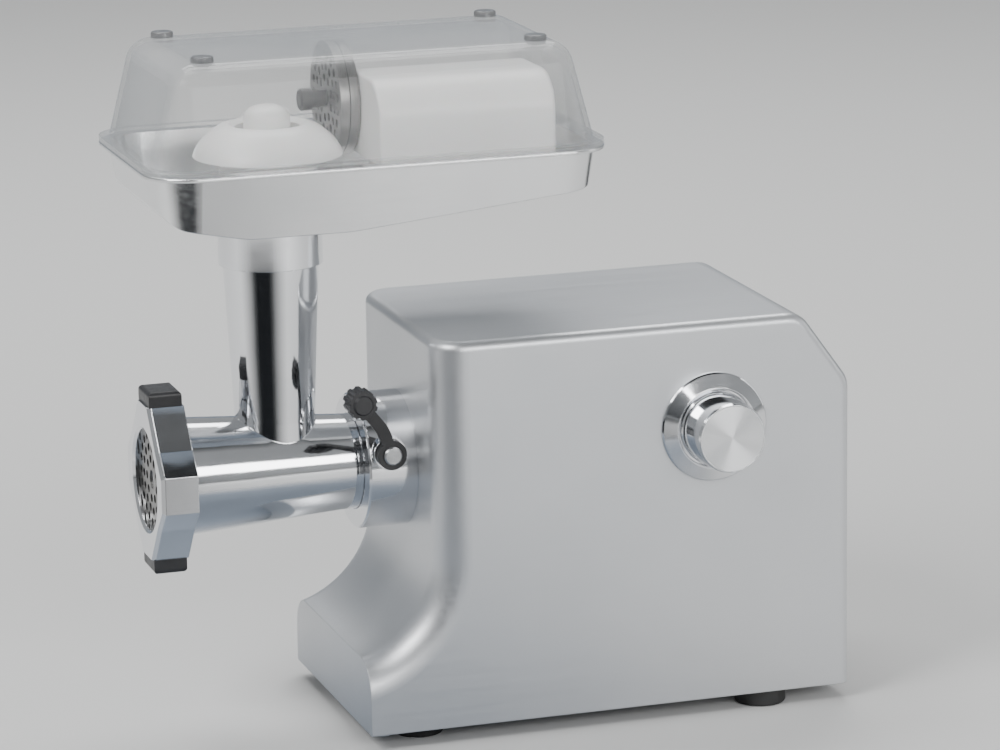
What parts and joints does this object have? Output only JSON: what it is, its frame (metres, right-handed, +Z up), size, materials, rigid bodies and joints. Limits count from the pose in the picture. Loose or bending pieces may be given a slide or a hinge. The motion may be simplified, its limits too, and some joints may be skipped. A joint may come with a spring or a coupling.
{
  "type": "electric meat grinder",
  "caption": "Bench-top electric meat grinder: geared motor in a silver housing, worm in a barrel with ring nut and plate, lidded hopper tray on the throat, front knob.",
  "frame": {"origin": "on the floor, under the middle of the housing's base", "axes": "+Z up; X along the barrel, with the ring nut and outlet towards -X and the vented rear panel at +X; the operator's side with the switch faces -Y"},
  "size_m": [0.387, 0.179, 0.3763],
  "materials": {
    "housing": "satin brushed silver",
    "panel": "fine grained dark grey",
    "rubber": "matt black rubber",
    "polished": "polished bright metal",
    "knob_face": "radially brushed",
    "black_plastic": "semi matt black",
    "steel": "ground steel",
    "plate_steel": "dull machined steel",
    "tray": "polished sheet metal",
    "clear": "clear moulded plastic",
    "white_plastic": "smooth white",
    "gearcase": "rough cast",
    "gear": "machined and oiled",
    "bronze": "sintered bronze",
    "iron": "laminated iron",
    "copper": "enamelled copper",
    "red_plastic": "smooth red",
    "carbon": "pressed carbon"
  },
  "bodies": {
    "housing": {"housing_shell": "housing", "base_plate": "steel", "rubber_feet": "rubber", "foot_screws": "steel", "base_screws": "steel", "rear_panel": "panel", "panel_screws": "steel", "cord_gland": "black_plastic", "overload_breaker": "black_plastic", "knob_bezel": "polished", "rotary_switch": "black_plastic", "drive_collar": "polished", "shaft_seal": "rubber", "output_bearing": "bronze", "gearbox_case": "gearcase", "gearbox_cover": "gearcase", "gearbox_screws": "steel", "motor_stator": "iron", "field_coils": "copper", "motor_bracket": "gearcase", "motor_bearings": "bronze", "motor_bolts": "steel", "carbon_brushes": "carbon", "brush_holders": "bronze"},
    "reset": {"reset_button": "red_plastic"},
    "switch": {"switch_shaft": "steel", "switch_knob": "polished", "knob_cap": "knob_face"},
    "lock": {"lock_screw": "steel", "lock_lever": "black_plastic", "lock_lever_knob": "black_plastic"},
    "rotor": {"motor_shaft": "gear", "cooling_fan": "black_plastic", "armature_core": "iron", "commutator": "copper"},
    "layshaft1": {"stage1_pinion_shaft": "gear", "stage1_gear": "white_plastic"},
    "layshaft2": {"stage2_pinion_shaft": "gear", "stage2_gear": "gear"},
    "output": {"output_shaft": "gear", "output_gear": "gear"},
    "head": {"grinder_barrel": "polished", "plate_key": "steel"},
    "feed_screw": {"worm": "polished", "worm_drive_shank": "steel", "worm_washer": "white_plastic", "cutting_blade": "plate_steel"},
    "plate": {"grinding_plate": "plate_steel"},
    "nut": {"ring_nut": "polished", "nut_grip_caps": "black_plastic"},
    "tray": {"hopper_tray": "tray"},
    "lid": {"hopper_lid": "clear", "lid_bumpers": "clear"},
    "pusher": {"food_pusher": "white_plastic", "pusher_grip": "white_plastic"},
    "accessories": {"accessory_case": "white_plastic", "plate_holder": "black_plastic", "spare_plates": "plate_steel"}
  },
  "joints": [
    {"name": "motor_spin", "type": "hinge", "parent": "housing", "child": "rotor", "pos_m": [0, 0, 0.075], "axis": [1, 0, 0], "continuous": true},
    {"name": "layshaft1_spin", "type": "hinge", "parent": "housing", "child": "layshaft1", "pos_m": [0, 0.03062, 0.0873], "axis": [1, 0, 0], "continuous": true},
    {"name": "layshaft2_spin", "type": "hinge", "parent": "housing", "child": "layshaft2", "pos_m": [0, 0, 0.1015], "axis": [1, 0, 0], "continuous": true},
    {"name": "output_spin", "type": "hinge", "parent": "housing", "child": "output", "pos_m": [0, 0, 0.142], "axis": [1, 0, 0], "continuous": true},
    {"name": "worm_spin", "type": "hinge", "parent": "head", "child": "feed_screw", "pos_m": [-0.166, 0, 0.142], "axis": [1, 0, 0], "continuous": true},
    {"name": "head_slide", "type": "slide", "parent": "housing", "child": "head", "axis": [-1, 0, 0], "range_m": [0, 0.06]},
    {"name": "lock_turn", "type": "hinge", "parent": "housing", "child": "lock", "pos_m": [-0.113, -0.039, 0.154], "axis": [0, -1, 0], "range_deg": [0, 60]},
    {"name": "nut_turn", "type": "hinge", "parent": "plate", "child": "nut", "pos_m": [-0.229, 0, 0.142], "axis": [-1, 0, 0], "range_deg": [0, 720]},
    {"name": "plate_slide", "type": "slide", "parent": "head", "child": "plate", "axis": [-1, 0, 0], "range_m": [0, 0.008]},
    {"name": "switch_turn", "type": "hinge", "parent": "housing", "child": "switch", "pos_m": [0.058, -0.075, 0.162], "axis": [0, -1, 0], "range_deg": [-60, 60]},
    {"name": "reset_press", "type": "slide", "parent": "housing", "child": "reset", "axis": [-1, 0, 0], "range_m": [0, 0.002], "stiffness_N_per_m": 500, "springref_m": -0.001},
    {"name": "tray_lift", "type": "slide", "parent": "head", "child": "tray", "axis": [0, 0, 1], "range_m": [0, 0.03]},
    {"name": "lid_lift", "type": "slide", "parent": "tray", "child": "lid", "axis": [0, 0, 1], "range_m": [0, 0.16]},
    {"name": "pusher_lift", "type": "slide", "parent": "tray", "child": "pusher", "axis": [0, 0, 1], "range_m": [0, 0.13]},
    {"name": "accessories_lift", "type": "slide", "parent": "tray", "child": "accessories", "axis": [0, 0, 1], "range_m": [0, 0.13]}
  ],
  "couplings": [
    {"joint": "layshaft1_spin", "follows": "motor_spin", "ratio": -0.22222},
    {"joint": "layshaft2_spin", "follows": "motor_spin", "ratio": 0.063492},
    {"joint": "output_spin", "follows": "motor_spin", "ratio": -0.018141},
    {"joint": "worm_spin", "follows": "motor_spin", "ratio": -0.018141},
    {"joint": "plate_slide", "follows": "nut_turn", "m_per_rad": 0.00063662},
    {"joint": "pusher_lift", "follows": "lid_lift", "ratio": 0.8},
    {"joint": "accessories_lift", "follows": "lid_lift", "ratio": 0.8}
  ]
}
